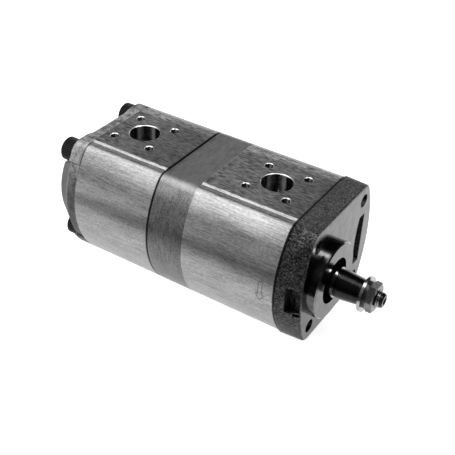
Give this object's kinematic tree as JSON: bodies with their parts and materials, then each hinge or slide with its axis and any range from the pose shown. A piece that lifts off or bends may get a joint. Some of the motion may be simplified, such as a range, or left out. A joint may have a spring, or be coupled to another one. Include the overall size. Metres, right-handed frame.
{
  "type": "tandem gear pump",
  "caption": "Tandem external gear hydraulic pump: spigot flange, tapered keyed shaft end, two gear sections with flanged ports, centre plate, rear cover and long clamp bolts.",
  "frame": {"origin": "where the drive shaft's axis crosses the mounting face, at the foot of the spigot", "axes": "+X out along the drive shaft, +Z to the inlet port faces, +Y from the drive shaft to the driven gears"},
  "size_m": [0.2298, 0.1016, 0.083],
  "materials": {
    "cast_iron_dark": "rough cast skin, machined front face and spigot",
    "extruded_aluminium": "extruded sides with fine lines, milled port faces",
    "machined_aluminium": "machined, matt",
    "cast_aluminium": "die-cast skin",
    "black_oxide_steel": "black oxide",
    "black_shaft_steel": "black oiled, turned",
    "ground_steel": "ground",
    "zinc_steel": "bright zinc",
    "nut_steel": "dark zinc",
    "bearing_bronze": "sintered bronze lining",
    "seal_rubber": "moulded rubber"
  },
  "bodies": {
    "pump_body": {"front_cover": "cast_iron_dark", "front_housing": "extruded_aluminium", "centre_plate": "machined_aluminium", "rear_housing": "extruded_aluminium", "rear_cover": "cast_aluminium", "clamp_bolts": "black_oxide_steel", "dowel_pins": "ground_steel", "bearing_block_1": "cast_aluminium", "bearing_block_2": "cast_aluminium", "bearing_block_3": "cast_aluminium", "bearing_block_4": "cast_aluminium", "drive_bush_1": "bearing_bronze", "drive_bush_2": "bearing_bronze", "drive_bush_3": "bearing_bronze", "drive_bush_4": "bearing_bronze", "driven_bush_1": "bearing_bronze", "driven_bush_2": "bearing_bronze", "driven_bush_3": "bearing_bronze", "driven_bush_4": "bearing_bronze", "pressure_seal_1": "seal_rubber", "pressure_seal_2": "seal_rubber", "pressure_seal_3": "seal_rubber", "pressure_seal_4": "seal_rubber", "joint_seal_1": "seal_rubber", "joint_seal_2": "seal_rubber", "joint_seal_3": "seal_rubber", "joint_seal_4": "seal_rubber", "shaft_seal": "seal_rubber", "retaining_ring": "black_oxide_steel"},
    "drive_train": {"drive_shaft": "black_shaft_steel", "shaft_coupling": "ground_steel", "rear_drive_gear": "ground_steel", "woodruff_key": "ground_steel", "plain_washer": "zinc_steel", "spring_washer": "black_oxide_steel", "shaft_nut": "nut_steel"},
    "front_driven": {"front_driven_gear": "ground_steel"},
    "rear_driven": {"rear_driven_gear": "ground_steel"}
  },
  "joints": [
    {"name": "drive_spin", "type": "hinge", "parent": "pump_body", "child": "drive_train", "pos_m": [0, 0, 0], "axis": [1, 0, 0], "continuous": true},
    {"name": "front_driven_spin", "type": "hinge", "parent": "pump_body", "child": "front_driven", "pos_m": [0, 0.0327, 0], "axis": [1, 0, 0], "continuous": true},
    {"name": "rear_driven_spin", "type": "hinge", "parent": "pump_body", "child": "rear_driven", "pos_m": [0, 0.0327, 0], "axis": [1, 0, 0], "continuous": true}
  ],
  "couplings": [
    {"joint": "front_driven_spin", "follows": "drive_spin", "ratio": -1},
    {"joint": "rear_driven_spin", "follows": "drive_spin", "ratio": -1}
  ]
}
